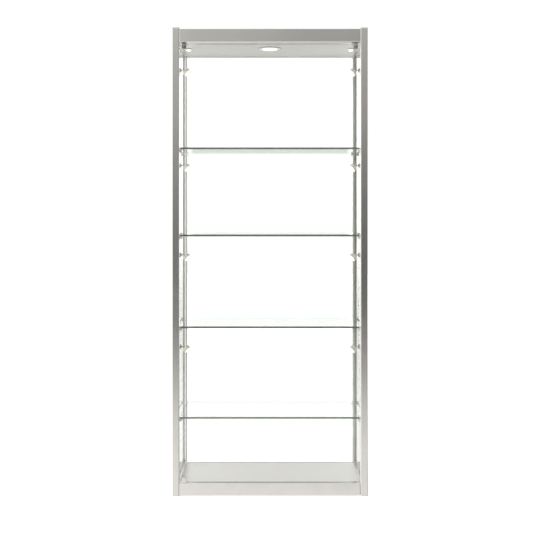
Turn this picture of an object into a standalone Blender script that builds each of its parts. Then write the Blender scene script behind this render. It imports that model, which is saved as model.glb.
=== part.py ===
"""Free-standing glass display case with an aluminium frame, a pivoting glass door and spotlights.

Frame: origin on the floor under the middle of the case, +X to the right, the door faces -Y,
+Z up. Dimensions below are in millimetres and meshes are built in metres.
"""

import math

import bmesh
import bpy
from mathutils import Vector

MM = 0.001

# ---- driving dimensions (mm) ------------------------------------------------------------
WIDTH = 800.0  # over the uprights
DEPTH = 370.0
GAP = 0.3  # clearance between neighbouring pieces

UPRIGHT = 30.0  # side of the square upright extrusion
UPRIGHT_TOP = 1910.7

HEADER_BOTTOM = 1850.0
HEADER_TOP = 1909.0
RAIL_WALL = 2.0
FACE_SETBACK = 0.6  # rails sit this far behind the faces of the uprights

PLINTH_BOTTOM = 5.0
PLINTH_FRONT_TOP = 52.5
PLINTH_SIDE_TOP = 52.0
PLINTH_REAR_TOP = 35.8
DECK_TOP = 39.2
DECK_THICKNESS = 3.0
CEILING_THICKNESS = 3.0

PANE = 5.0  # glass thickness of the panes
PANE_INSET = 9.0  # inner face of a pane, outboard of the uprights' inner faces
UPRIGHT_GROOVE = 6.0  # depth of a pane groove in an upright
RAIL_GROOVE = 8.0  # depth of a pane groove in a rail

SHELF_THICKNESS = 8.0
SHELF_HEIGHTS = (1422.0, 1064.0, 686.2, 313.8)  # middle of the glass edge

DOOR_THICKNESS = 5.0
DOOR_FRONT = -179.0  # front face of the door glass
DOOR_HALF_WIDTH = 366.5
DOOR_BOTTOM = 55.5
DOOR_TOP = 1847.0
PIVOT_X = -351.0
PIN_RADIUS = 2.5
BUSH_RADIUS = 4.0

LIGHT_LINE_Y = -40.0  # the ceiling lights and the spotlights share this line
SPOT_HEIGHTS = (1761.0, 1357.0, 978.0, 589.0)
SPOT_DISC_RADIUS = 10.0

# ---- derived places ---------------------------------------------------------------------
HALF_WIDTH = WIDTH / 2
HALF_DEPTH = DEPTH / 2
INNER_X = HALF_WIDTH - UPRIGHT  # inner faces of the uprights
INNER_Y = HALF_DEPTH - UPRIGHT
FRONT_FACE = -HALF_DEPTH + FACE_SETBACK  # outer faces of the rails
REAR_FACE = HALF_DEPTH - FACE_SETBACK
OUTER_FACE = HALF_WIDTH - FACE_SETBACK
PANE_X = INNER_X + PANE_INSET  # inner face of a side pane
PANE_Y = INNER_Y + PANE_INSET  # inner face of the rear pane
GROOVE_X = (PANE_X - GAP, PANE_X + PANE + GAP)  # inner and outer wall of a side groove
GROOVE_Y = (PANE_Y - GAP, PANE_Y + PANE + GAP)
CEILING_LOW = HEADER_BOTTOM + RAIL_WALL + GAP
CEILING_TOP = CEILING_LOW + CEILING_THICKNESS
DOOR_MID_Y = DOOR_FRONT + DOOR_THICKNESS / 2

SIDES = ((-1, "left"), (1, "right"))  # sign of x
ENDS = ((-1, "front"), (1, "rear"))  # sign of y

# ---- a clean scene ----------------------------------------------------------------------
for old in list(bpy.data.objects):
    bpy.data.objects.remove(old, do_unlink=True)

# ---- materials --------------------------------------------------------------------------
GLASS_VIEW_ALPHA = 0.35  # viewport opacity of a transmitting material


def material(name, colour, roughness, metallic=0.0, transmission=0.0):
    mat = bpy.data.materials.new(name)
    mat.use_nodes = True
    shader = mat.node_tree.nodes["Principled BSDF"]
    shader.inputs["Base Color"].default_value = (*colour, 1.0)
    shader.inputs["Roughness"].default_value = roughness
    shader.inputs["Metallic"].default_value = metallic
    shader.inputs["Transmission Weight"].default_value = transmission
    mat.diffuse_color = (*colour, 1.0 if transmission == 0.0 else GLASS_VIEW_ALPHA)
    return mat


ALUMINIUM = material(
    "satin_aluminium", colour=(0.62, 0.61, 0.58), roughness=0.38, metallic=1.0
)
PANEL = material("light_grey_panel", colour=(0.66, 0.65, 0.62), roughness=0.3)
CLEAR = material(
    "clear_glass", colour=(0.93, 0.97, 0.95), roughness=0.02, transmission=1.0
)
CAP_GREY = material("grey_cap_plastic", colour=(0.45, 0.45, 0.43), roughness=0.5)
DARK_METAL = material("dark_nickel", colour=(0.16, 0.16, 0.15), roughness=0.3, metallic=1.0)
STEEL = material("bright_steel", colour=(0.6, 0.6, 0.58), roughness=0.3, metallic=1.0)
LAMP_WHITE = material("lamp_enamel", colour=(0.72, 0.70, 0.62), roughness=0.35)
LENS = material("lamp_lens", colour=(1.0, 0.95, 0.82), roughness=0.2)
DRIVER_CASE = material("driver_case", colour=(0.8, 0.8, 0.78), roughness=0.5)
LEAD = material("lead_insulation", colour=(0.85, 0.83, 0.76), roughness=0.5)
BUSH = material("bush_plastic", colour=(0.08, 0.08, 0.08), roughness=0.5)

# ---- objects and meshes -----------------------------------------------------------------
SMOOTH_ANGLE = 35.0  # edges sharper than this stay sharp on a smooth-shaded piece
BEVEL_ANGLE = 40.0  # edges sharper than this are bevelled
AXIS_DISPLAY_SIZE = 0.03  # metres


def add_object(name, mesh, mat, parent=None, location=(0, 0, 0)):
    obj = bpy.data.objects.new(name, mesh)
    bpy.context.scene.collection.objects.link(obj)
    if not mesh.materials:
        mesh.materials.append(mat)
    obj.parent = parent
    obj.location = Vector(location) * MM
    return obj


def add_axis(name, location, parent=None, rotation=(0, 0, 0)):
    """An empty that stands on a joint's axis."""
    empty = bpy.data.objects.new(name, None)
    bpy.context.scene.collection.objects.link(empty)
    empty.empty_display_size = AXIS_DISPLAY_SIZE
    empty.parent = parent
    empty.location = Vector(location) * MM
    empty.rotation_euler = [math.radians(angle) for angle in rotation]
    return empty


def shade(mesh):
    mesh.shade_smooth()
    mesh.set_sharp_from_angle(angle=math.radians(SMOOTH_ANGLE))


def finish_mesh(shape, name, smooth=False):
    """Turns a bmesh into a mesh with its normals outward."""
    bmesh.ops.recalc_face_normals(shape, faces=shape.faces)
    mesh = bpy.data.meshes.new(name)
    shape.to_mesh(mesh)
    shape.free()
    if smooth:
        shade(mesh)
    return mesh


def block(low, high):
    """A bmesh box between two opposite corners."""
    shape = bmesh.new()
    for vert in bmesh.ops.create_cube(shape, size=1.0)["verts"]:
        vert.co = Vector(
            [(near + far) / 2 + (far - near) * c for near, far, c in zip(low, high, vert.co)]
        ) * MM
    return shape


def box(name, low, high, mat, bevel=0.0, segments=1, parent=None):
    obj = add_object(name, finish_mesh(block(low, high), name), mat, parent)
    if bevel:
        mod = obj.modifiers.new("broken_edges", "BEVEL")
        mod.width = bevel * MM
        mod.segments = segments
        mod.limit_method = "ANGLE"
        mod.angle_limit = math.radians(BEVEL_ANGLE)
    return obj


# Where a turned point lands for each axis of revolution.
TURN = {
    "X": lambda radius, along, angle: (along, radius * math.cos(angle), radius * math.sin(angle)),
    "Y": lambda radius, along, angle: (radius * math.sin(angle), along, radius * math.cos(angle)),
    "Z": lambda radius, along, angle: (radius * math.cos(angle), radius * math.sin(angle), along),
}


def turned_shape(profile, segments, axis="Z"):
    """A bmesh revolved from (radius, distance along the axis), both ends on the axis."""
    shape = bmesh.new()
    rings = []
    for radius, along in profile:
        count = 1 if radius == 0 else segments
        rings.append(
            [
                shape.verts.new(
                    Vector(TURN[axis](radius, along, 2 * math.pi * i / segments)) * MM
                )
                for i in range(count)
            ]
        )
    for ring, following in zip(rings, rings[1:]):
        for i in range(segments):
            j = (i + 1) % segments
            corners = [
                ring[i % len(ring)],
                ring[j % len(ring)],
                following[j % len(following)],
                following[i % len(following)],
            ]
            unique = list(dict.fromkeys(corners))
            if len(unique) > 2:
                shape.faces.new(unique)
    return shape


def turned(name, profile, segments, mat, x, y):
    """A piece turned about the vertical through x, y. The profile's heights are from the floor."""
    mesh = finish_mesh(turned_shape(profile, segments), name, smooth=True)
    return add_object(name, mesh, mat, location=(x, y, 0))


def cylinder(radius, start, end):
    """Profile of a plain cylinder, for turning."""
    return [(0, start), (radius, start), (radius, end), (0, end)]


def boolean(target, tool, operation):
    """A Boolean with the exact solver. The tool is kept as a hidden helper."""
    mod = target.modifiers.new(operation.lower(), "BOOLEAN")
    mod.operation = operation
    mod.solver = "EXACT"
    mod.object = tool
    tool.hide_render = True
    tool.display_type = "WIRE"


def fused_mesh(name, shapes, mat, cutter=None):
    """One mesh from overlapping bmeshes, with an optional cutter taken out."""
    first, *tools = [
        add_object(f"{name}_part_{i}", finish_mesh(shape, "part"), mat)
        for i, shape in enumerate(shapes)
    ]
    for tool in tools:
        boolean(first, tool, "UNION")
    if cutter is not None:
        tools.append(add_object(f"{name}_cutter", finish_mesh(cutter, "cutter"), mat))
        boolean(first, tools[-1], "DIFFERENCE")
    bpy.context.view_layer.update()
    graph = bpy.context.evaluated_depsgraph_get()
    result = bpy.data.meshes.new_from_object(first.evaluated_get(graph))
    result.name = name
    for obj in (first, *tools):
        bpy.data.objects.remove(obj, do_unlink=True)
    shade(result)
    return result


def fused(name, shapes, mat, parent=None, location=(0, 0, 0)):
    return add_object(name, fused_mesh(name, shapes, mat), mat, parent, location)


# ---- outlines ---------------------------------------------------------------------------
# How the two profile coordinates and the distance along the run map to X, Y, Z.
ALONG = {
    "X": lambda across, up, along: (along, across, up),  # profile in Y, Z
    "Y": lambda across, up, along: (across, along, up),  # profile in X, Z
    "Z": lambda across, up, along: (across, up, along),  # profile in X, Y
}


def extrusion(name, axis, outline, start, end, holes, smooth=False):
    """An aluminium prism: an outline with holes, filled and run from start to end."""
    place = ALONG[axis]
    shape = bmesh.new()
    edges = []
    for loop in (outline, *holes):
        verts = [shape.verts.new(Vector(place(*point, start)) * MM) for point in loop]
        edges += [shape.edges.new(pair) for pair in zip(verts, verts[1:] + verts[:1])]
    bmesh.ops.triangle_fill(shape, use_beauty=True, use_dissolve=True, edges=edges)
    bmesh.ops.recalc_face_normals(shape, faces=shape.faces)
    grown = bmesh.ops.extrude_face_region(shape, geom=list(shape.faces), use_keep_orig=True)
    moved = [item for item in grown["geom"] if isinstance(item, bmesh.types.BMVert)]
    shift = Vector(place(0, 0, end)) * MM - Vector(place(0, 0, start)) * MM
    bmesh.ops.translate(shape, verts=moved, vec=shift)
    return add_object(name, finish_mesh(shape, name, smooth), ALUMINIUM)


def mirrored(points, side):
    """Points for the left (-1) or right (+1) half: the first coordinate is outward."""
    return [(side * outward, other) for outward, other in points]


def span(sign, first, second):
    """Two distances from the middle, put on one side of it and sorted."""
    return sorted((sign * first, sign * second))


def rectangle(left, low, right, high):
    return [(left, low), (right, low), (right, high), (left, high)]


def groove(first, last, mouth, floor):
    """Outline points of a groove entered at first and left at last."""
    return [(first, mouth), (first, floor), (last, floor), (last, mouth)]


def rounded_corners(left, low, right, high, radius, steps):
    """Four lists of points, one per corner, counter-clockwise from low right."""
    corners = []
    for centre_x, centre_y, start in (
        (right - radius, low + radius, -90),
        (right - radius, high - radius, 0),
        (left + radius, high - radius, 90),
        (left + radius, low + radius, 180),
    ):
        angles = [math.radians(start + 90 * i / steps) for i in range(steps + 1)]
        corners.append(
            [
                (centre_x + radius * math.cos(angle), centre_y + radius * math.sin(angle))
                for angle in angles
            ]
        )
    return corners


# ---- uprights ---------------------------------------------------------------------------
# Profiles are drawn for the right-hand side, with x outward and y towards the rear.
UPRIGHT_WALL = 2.0
UPRIGHT_RADIUS = 3.0
UPRIGHT_CORNER_STEPS = 3
HOLLOW_IN = INNER_X + UPRIGHT_WALL
HOLLOW_OUT = HALF_WIDTH - UPRIGHT_WALL
BESIDE_GROOVE = GROOVE_X[1] + UPRIGHT_WALL  # hollow outboard of the side groove


def front_upright():
    """Outline and holes, with a side-pane groove in the rear face."""
    front_out, rear_out, rear_in, front_in = rounded_corners(
        INNER_X, -HALF_DEPTH, HALF_WIDTH, -INNER_Y, UPRIGHT_RADIUS, UPRIGHT_CORNER_STEPS
    )
    floor = -INNER_Y - UPRIGHT_GROOVE
    side_groove = groove(GROOVE_X[1], GROOVE_X[0], -INNER_Y, floor)
    outline = front_out + rear_out + side_groove + rear_in + front_in
    holes = [
        rectangle(HOLLOW_IN, -HALF_DEPTH + UPRIGHT_WALL, HOLLOW_OUT, floor - UPRIGHT_WALL),
        rectangle(BESIDE_GROOVE, floor, HOLLOW_OUT, -INNER_Y - UPRIGHT_WALL),
    ]
    return outline, holes


def rear_upright():
    """Outline and hole, with pane grooves in the front face and the inner face."""
    front_out, rear_out, rear_in, front_in = rounded_corners(
        INNER_X, INNER_Y, HALF_WIDTH, HALF_DEPTH, UPRIGHT_RADIUS, UPRIGHT_CORNER_STEPS
    )
    side_groove = groove(*GROOVE_X, INNER_Y, INNER_Y + UPRIGHT_GROOVE)
    floor = INNER_X + UPRIGHT_GROOVE
    groove_front, groove_back = GROOVE_Y
    rear_groove = [
        (INNER_X, groove_back),
        (floor, groove_back),
        (floor, groove_front),
        (INNER_X, groove_front),
    ]
    outline = side_groove + front_out + rear_out + rear_in + rear_groove + front_in
    behind_groove = groove_back + UPRIGHT_WALL
    hollow = [
        (BESIDE_GROOVE, INNER_Y + UPRIGHT_WALL),
        (HOLLOW_OUT, INNER_Y + UPRIGHT_WALL),
        (HOLLOW_OUT, HALF_DEPTH - UPRIGHT_WALL),
        (HOLLOW_IN, HALF_DEPTH - UPRIGHT_WALL),
        (HOLLOW_IN, behind_groove),
        (BESIDE_GROOVE, behind_groove),
    ]
    return outline, [hollow]


UPRIGHT_PROFILES = {"front": front_upright(), "rear": rear_upright()}

# ---- end caps ---------------------------------------------------------------------------
CAP_THICKNESS = 3.0
CAP_CHAMFER = 1.0
CAP_CORNER_STEPS = 2
CAP_BOTTOM = UPRIGHT_TOP + GAP
PLUG_INSET = 3.0  # plug behind the upright's faces
PLUG_REACH = {"front": 18.0, "rear": 12.5}  # from the outer face to the plug's inner side
PLUG_LENGTH = 12.0
PLUG_OVERLAP = 1.0  # into the plate


def cap_plate(x, y):
    """Rounded square plate centred on an upright, chamfered round its top."""
    half = UPRIGHT / 2
    corners = rounded_corners(-half, -half, half, half, UPRIGHT_RADIUS, CAP_CORNER_STEPS)
    outline = sum(corners, [])
    plate = bmesh.new()
    low_ring, mid_ring, high_ring = [
        [
            plate.verts.new(Vector((x + dx * scale, y + dy * scale, level)) * MM)
            for dx, dy in outline
        ]
        for level, scale in (
            (CAP_BOTTOM, 1.0),
            (CAP_BOTTOM + CAP_THICKNESS - CAP_CHAMFER, 1.0),
            (CAP_BOTTOM + CAP_THICKNESS, (half - CAP_CHAMFER) / half),
        )
    ]
    plate.faces.new(low_ring[::-1])
    plate.faces.new(high_ring)
    for lower, upper in ((low_ring, mid_ring), (mid_ring, high_ring)):
        for i in range(len(outline)):
            j = (i + 1) % len(outline)
            plate.faces.new((lower[i], lower[j], upper[j], upper[i]))
    return plate


def cap_plug(side, end, end_word):
    """Block that reaches down into the upright's hollow."""
    left, right = span(side, INNER_X + PLUG_INSET, HALF_WIDTH - PLUG_INSET)
    front, rear = span(end, HALF_DEPTH - PLUG_INSET, HALF_DEPTH - PLUG_REACH[end_word])
    return block(
        (left, front, UPRIGHT_TOP - PLUG_LENGTH),
        (right, rear, CAP_BOTTOM + PLUG_OVERLAP),
    )


for side, side_word in SIDES:
    for end, end_word in ENDS:
        outline, holes = UPRIGHT_PROFILES[end_word]
        extrusion(
            f"upright_{end_word}_{side_word}",
            "Z",
            mirrored(outline, side),
            0.0,
            UPRIGHT_TOP,
            holes=[mirrored(hole, side) for hole in holes],
            smooth=True,
        )
        plate = cap_plate(side * (HALF_WIDTH - UPRIGHT / 2), end * (HALF_DEPTH - UPRIGHT / 2))
        plug = cap_plug(side, end, end_word)
        fused(f"cap_{end_word}_{side_word}", [plate, plug], CAP_GREY)

# ---- rails ------------------------------------------------------------------------------
RAIL_CHAMFER = 0.8  # on the outer edges
LEDGE = 10.0  # reach of a ledge that carries the deck or the ceiling
LIP_HEIGHT = 8.0  # bevelled lower lip of the fascia
LIP_DEPTH = 3.0
COVER_LEDGE = 8.0  # reach of the ledges under the top cover
COVER_LEDGE_TOP = HEADER_TOP - 3.6
COVER_LEDGE_LOW = COVER_LEDGE_TOP - RAIL_WALL
DECK_LEDGE_TOP = DECK_TOP - DECK_THICKNESS - GAP
DECK_LEDGE_LOW = DECK_LEDGE_TOP - RAIL_WALL
PLINTH_INNER_Y = INNER_Y + GAP  # inner face of the front and rear plinth rails
HEADER_GROOVE_FLOOR = HEADER_BOTTOM + RAIL_GROOVE


def cross_rail(name, outline, hole):
    """A rail along X between the uprights. Its profile is in Y, Z."""
    reach = INNER_X - GAP
    return extrusion(name, "X", outline, -reach, reach, holes=[hole])


def side_rails(name, outline, hole):
    """A mirrored pair of rails along Y. The profile is outward X, Z."""
    reach = INNER_Y - GAP
    for side, side_word in SIDES:
        extrusion(
            f"{name}_{side_word}",
            "Y",
            mirrored(outline, side),
            -reach,
            reach,
            holes=[mirrored(hole, side)],
        )


def header_fascia():
    outline = [
        (FRONT_FACE, HEADER_TOP - RAIL_CHAMFER),
        (FRONT_FACE, HEADER_BOTTOM + LIP_HEIGHT),
        (FRONT_FACE + LIP_DEPTH, HEADER_BOTTOM),
        (-INNER_Y + LEDGE, HEADER_BOTTOM),
        (-INNER_Y + LEDGE, HEADER_BOTTOM + RAIL_WALL),
        (-INNER_Y, HEADER_BOTTOM + RAIL_WALL),
        (-INNER_Y, COVER_LEDGE_LOW),
        (-INNER_Y + COVER_LEDGE, COVER_LEDGE_LOW),
        (-INNER_Y + COVER_LEDGE, COVER_LEDGE_TOP),
        (-INNER_Y, COVER_LEDGE_TOP),
        (-INNER_Y, HEADER_TOP),
        (FRONT_FACE + RAIL_CHAMFER, HEADER_TOP),
    ]
    hollow_low = HEADER_BOTTOM + LIP_HEIGHT + RAIL_WALL
    hollow = [
        (FRONT_FACE + LIP_DEPTH + RAIL_WALL, hollow_low),
        (-INNER_Y - RAIL_WALL, hollow_low),
        (-INNER_Y - RAIL_WALL, HEADER_TOP - RAIL_WALL),
        (FRONT_FACE + RAIL_WALL, HEADER_TOP - RAIL_WALL),
        (FRONT_FACE + RAIL_WALL, hollow_low + RAIL_WALL),
    ]
    return cross_rail("header_fascia", outline, hollow)


def header_rear_rail():
    outline = [
        (INNER_Y - LEDGE, HEADER_BOTTOM),
        *groove(*GROOVE_Y, HEADER_BOTTOM, HEADER_GROOVE_FLOOR),
        (REAR_FACE - RAIL_CHAMFER, HEADER_BOTTOM),
        (REAR_FACE, HEADER_BOTTOM + RAIL_CHAMFER),
        (REAR_FACE, HEADER_TOP - RAIL_CHAMFER),
        (REAR_FACE - RAIL_CHAMFER, HEADER_TOP),
        (INNER_Y, HEADER_TOP),
        (INNER_Y, COVER_LEDGE_TOP),
        (INNER_Y - COVER_LEDGE, COVER_LEDGE_TOP),
        (INNER_Y - COVER_LEDGE, COVER_LEDGE_LOW),
        (INNER_Y, COVER_LEDGE_LOW),
        (INNER_Y, HEADER_BOTTOM + RAIL_WALL),
        (INNER_Y - LEDGE, HEADER_BOTTOM + RAIL_WALL),
    ]
    hollow = rectangle(
        INNER_Y + RAIL_WALL,
        HEADER_GROOVE_FLOOR + RAIL_WALL,
        REAR_FACE - RAIL_WALL,
        HEADER_TOP - RAIL_WALL,
    )
    cross_rail("header_rear_rail", outline, hollow)


def header_side_rails():
    outline = [
        (INNER_X, HEADER_BOTTOM),
        *groove(*GROOVE_X, HEADER_BOTTOM, HEADER_GROOVE_FLOOR),
        (OUTER_FACE - RAIL_CHAMFER, HEADER_BOTTOM),
        (OUTER_FACE, HEADER_BOTTOM + RAIL_CHAMFER),
        (OUTER_FACE, HEADER_TOP - RAIL_CHAMFER),
        (OUTER_FACE - RAIL_CHAMFER, HEADER_TOP),
        (INNER_X, HEADER_TOP),
    ]
    hollow = rectangle(
        INNER_X + RAIL_WALL,
        HEADER_GROOVE_FLOOR + RAIL_WALL,
        OUTER_FACE - RAIL_WALL,
        HEADER_TOP - RAIL_WALL,
    )
    side_rails("header_side", outline, hollow)


def plinth_side_rails():
    floor = PLINTH_SIDE_TOP - RAIL_GROOVE
    outline = [
        (INNER_X, PLINTH_BOTTOM),
        (OUTER_FACE, PLINTH_BOTTOM),
        (OUTER_FACE, PLINTH_SIDE_TOP - RAIL_CHAMFER),
        (OUTER_FACE - RAIL_CHAMFER, PLINTH_SIDE_TOP),
        *groove(GROOVE_X[1], GROOVE_X[0], PLINTH_SIDE_TOP, floor),
        (INNER_X, PLINTH_SIDE_TOP),
        (INNER_X, DECK_LEDGE_TOP),
        (INNER_X - LEDGE, DECK_LEDGE_TOP),
        (INNER_X - LEDGE, DECK_LEDGE_LOW),
        (INNER_X, DECK_LEDGE_LOW),
    ]
    hollow = rectangle(
        INNER_X + RAIL_WALL,
        PLINTH_BOTTOM + RAIL_WALL,
        OUTER_FACE - RAIL_WALL,
        floor - RAIL_WALL,
    )
    side_rails("plinth_side", outline, hollow)


def plinth_front_rail():
    outline = [
        (FRONT_FACE, PLINTH_BOTTOM),
        (-PLINTH_INNER_Y, PLINTH_BOTTOM),
        (-PLINTH_INNER_Y, PLINTH_FRONT_TOP),
        (FRONT_FACE + RAIL_CHAMFER, PLINTH_FRONT_TOP),
        (FRONT_FACE, PLINTH_FRONT_TOP - RAIL_CHAMFER),
    ]
    hollow = rectangle(
        FRONT_FACE + RAIL_WALL,
        PLINTH_BOTTOM + RAIL_WALL,
        -PLINTH_INNER_Y - RAIL_WALL,
        PLINTH_FRONT_TOP - RAIL_WALL,
    )
    return cross_rail("plinth_front_rail", outline, hollow)


def plinth_rear_rail():
    floor = PLINTH_REAR_TOP - RAIL_GROOVE
    outline = [
        (PLINTH_INNER_Y, PLINTH_BOTTOM),
        (REAR_FACE, PLINTH_BOTTOM),
        (REAR_FACE, PLINTH_REAR_TOP - RAIL_CHAMFER),
        (REAR_FACE - RAIL_CHAMFER, PLINTH_REAR_TOP),
        *groove(GROOVE_Y[1], GROOVE_Y[0], PLINTH_REAR_TOP, floor),
        (PLINTH_INNER_Y, PLINTH_REAR_TOP),
    ]
    hollow = rectangle(
        PLINTH_INNER_Y + RAIL_WALL,
        PLINTH_BOTTOM + RAIL_WALL,
        REAR_FACE - RAIL_WALL,
        floor - RAIL_WALL,
    )
    cross_rail("plinth_rear_rail", outline, hollow)


fascia = header_fascia()
header_rear_rail()
header_side_rails()
plinth_side_rails()
plinth_front = plinth_front_rail()
plinth_rear_rail()

# Bores for the pivot bushes, in the fascia's lower wall and the plinth's upper wall.
BORE_DEPTH = 14.0
BORE_OVERRUN = 2.0  # the cutter starts this far outside the wall
BORE_SEGMENTS = 24

for rail, word, start, end in (
    (fascia, "top", HEADER_BOTTOM - BORE_OVERRUN, HEADER_BOTTOM + BORE_DEPTH),
    (plinth_front, "bottom", PLINTH_FRONT_TOP - BORE_DEPTH, PLINTH_FRONT_TOP + BORE_OVERRUN),
):
    profile = cylinder(BUSH_RADIUS + GAP, start, end)
    cutter = turned(
        f"{word}_bore_cutter", profile, BORE_SEGMENTS, BUSH, x=PIVOT_X, y=DOOR_MID_Y
    )
    boolean(rail, cutter, "DIFFERENCE")

# ---- panels -----------------------------------------------------------------------------
PANEL_END_GAP = 0.5
COVER_THICKNESS = 2.0
COVER_LOW = COVER_LEDGE_TOP + GAP
LAMP_HOLE_RADIUS = 36.0
LAMP_HOLE_OVERRUN = 5.0  # cutter beyond each face of the ceiling


def panel(name, low, high, mat):
    """A level panel that fills the frame between two heights."""
    reach_x, reach_y = INNER_X - PANEL_END_GAP, INNER_Y - GAP
    return box(name, (-reach_x, -reach_y, low), (reach_x, reach_y, high), mat)


panel("deck_panel", DECK_TOP - DECK_THICKNESS, DECK_TOP, PANEL)
ceiling = panel("ceiling_panel", CEILING_LOW, CEILING_TOP, PANEL)
lamp_hole = turned(
    "ceiling_hole_cutter",
    cylinder(LAMP_HOLE_RADIUS, CEILING_LOW - LAMP_HOLE_OVERRUN, CEILING_TOP + LAMP_HOLE_OVERRUN),
    40,
    PANEL,
    x=0,
    y=LIGHT_LINE_Y,
)
boolean(ceiling, lamp_hole, "DIFFERENCE")
panel("top_cover", COVER_LOW, COVER_LOW + COVER_THICKNESS, ALUMINIUM)

# ---- glass ------------------------------------------------------------------------------
PANE_BEVEL = 0.6
SHELF_BEVEL = 0.7
PANE_END_GAP = 0.5  # pane edge to groove floor
SHELF_HALF_WIDTH = 369.0
SHELF_FRONT = -157.5
SHELF_REAR = 150.0

pane_top = HEADER_GROOVE_FLOOR - PANE_END_GAP
pane_reach = UPRIGHT_GROOVE - PANE_END_GAP  # into an upright
for side, side_word in SIDES:
    left, right = span(side, PANE_X, PANE_X + PANE)
    box(
        f"side_pane_{side_word}",
        (left, -INNER_Y - pane_reach, PLINTH_SIDE_TOP - RAIL_GROOVE + PANE_END_GAP),
        (right, INNER_Y + pane_reach, pane_top),
        CLEAR,
        bevel=PANE_BEVEL,
    )
box(
    "rear_pane",
    (-INNER_X - pane_reach, PANE_Y, PLINTH_REAR_TOP - RAIL_GROOVE + PANE_END_GAP),
    (INNER_X + pane_reach, PANE_Y + PANE, pane_top),
    CLEAR,
    bevel=PANE_BEVEL,
)
for number, height in enumerate(SHELF_HEIGHTS, 1):
    box(
        f"shelf_{number}",
        (-SHELF_HALF_WIDTH, SHELF_FRONT, height - SHELF_THICKNESS / 2),
        (SHELF_HALF_WIDTH, SHELF_REAR, height + SHELF_THICKNESS / 2),
        CLEAR,
        bevel=SHELF_BEVEL,
    )

# ---- shelf-support strips ---------------------------------------------------------------
# A flat strip on each upright, with one lug under each shelf corner.
STRIP_OUT = PANE_X - 0.6
STRIP_IN = INNER_X + 1.0
STRIP_THICKNESS = 2.0
STRIP_END_GAP = 1.0
STRIP_FACE = INNER_Y - GAP  # strip's face on the upright, as a distance from y = 0
LUG_IN = INNER_X - 9.0
LUG_REACH = 15.0
LUG_HEIGHT = 10.0
LUG_TAPER = 5.0  # rise of the underside at the tip
LUG_INSET = 0.1  # keeps the lug's faces off the strip's


def shelf_lug(side, end, top):
    left, right = span(side, STRIP_OUT - LUG_INSET, LUG_IN)
    front, rear = span(end, STRIP_FACE - LUG_INSET, STRIP_FACE - LUG_REACH)
    lug = block((left, front, top - LUG_HEIGHT), (right, rear, top))
    tip = end * (STRIP_FACE - LUG_REACH) * MM
    for vert in lug.verts:
        if abs(vert.co.y - tip) < 1e-6 and vert.co.z < (top - LUG_HEIGHT / 2) * MM:
            vert.co.z += LUG_TAPER * MM
    return lug


def shelf_strip(side, end):
    left, right = span(side, STRIP_OUT, STRIP_IN)
    front, rear = span(end, STRIP_FACE, STRIP_FACE - STRIP_THICKNESS)
    return block(
        (left, front, PLINTH_FRONT_TOP + STRIP_END_GAP),
        (right, rear, HEADER_BOTTOM - STRIP_END_GAP),
    )


for side, side_word in SIDES:
    for end, end_word in ENDS:
        lugs = [
            shelf_lug(side, end, height - SHELF_THICKNESS / 2 - GAP)
            for height in SHELF_HEIGHTS
        ]
        fused(f"shelf_strip_{end_word}_{side_word}", [shelf_strip(side, end), *lugs], STEEL)

# ---- ceiling lights ---------------------------------------------------------------------
DOWNLIGHT_RADIUS = 50.0
DOWNLIGHT_OPENING = 31.0  # radius
LENS_RADIUS = DOWNLIGHT_OPENING - 0.6
CORNER_LIGHT_X = 344.0
CORNER_LIGHT_RADIUS = 11.5
LIGHT_SEAT = CEILING_LOW - GAP  # where the lights' flanges meet the ceiling

# Profiles: radius, height above the seat.
DOWNLIGHT_PROFILE = [
    (0, 32),
    (DOWNLIGHT_OPENING - 0.5, 32),
    (DOWNLIGHT_OPENING + 3, 7),
    (DOWNLIGHT_OPENING + 3, 0),
    (DOWNLIGHT_RADIUS, 0),
    (DOWNLIGHT_RADIUS, -0.4),
    (DOWNLIGHT_RADIUS - 3, -1.8),
    (DOWNLIGHT_OPENING + 9, -3.5),
    (DOWNLIGHT_OPENING + 2, -3.5),
    (DOWNLIGHT_OPENING, -2.6),
    (DOWNLIGHT_OPENING, 6),
    (DOWNLIGHT_OPENING - 3, 30),
    (0, 30),
]
LENS_PROFILE = [
    (0, 1.5),
    (LENS_RADIUS, 1.5),
    (LENS_RADIUS, -1.0),
    (DOWNLIGHT_OPENING * 0.6, -3.0),
    (0, -4.0),
]
CORNER_LIGHT_PROFILE = [
    (0, 0),
    (CORNER_LIGHT_RADIUS, 0),
    (CORNER_LIGHT_RADIUS, -3.6),
    (CORNER_LIGHT_RADIUS - 1.2, -4.8),
    (CORNER_LIGHT_RADIUS - 2.0, -4.8),
    (CORNER_LIGHT_RADIUS - 2.4, -7.2),
    (CORNER_LIGHT_RADIUS - 4.2, -9.2),
    (CORNER_LIGHT_RADIUS - 7.0, -10.2),
    (0, -10.6),
]


def ceiling_light(name, profile, segments, mat, x=0):
    raised = [(radius, LIGHT_SEAT + height) for radius, height in profile]
    turned(name, raised, segments, mat, x=x, y=LIGHT_LINE_Y)


ceiling_light("downlight_housing", DOWNLIGHT_PROFILE, 32, STEEL)
ceiling_light("downlight_lens", LENS_PROFILE, 32, LENS)
for side, side_word in SIDES:
    ceiling_light(
        f"corner_light_{side_word}", CORNER_LIGHT_PROFILE, 24, STEEL, x=side * CORNER_LIGHT_X
    )

# ---- lighting supply --------------------------------------------------------------------
DRIVER_X = (-270.0, -110.0)
DRIVER_Y = (-20.0, 26.0)
DRIVER_HEIGHT = 28.0
DRIVER_LOW = CEILING_TOP + GAP
LEAD_THICKNESS = 1.4
LEAD_WIDTH = 4.0
LEAD_Y = LIGHT_LINE_Y + SPOT_DISC_RADIUS + 1.0  # front edge, just behind the spot discs
LEAD_TAIL = 8.0  # below the axis of the lowest spotlight

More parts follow.
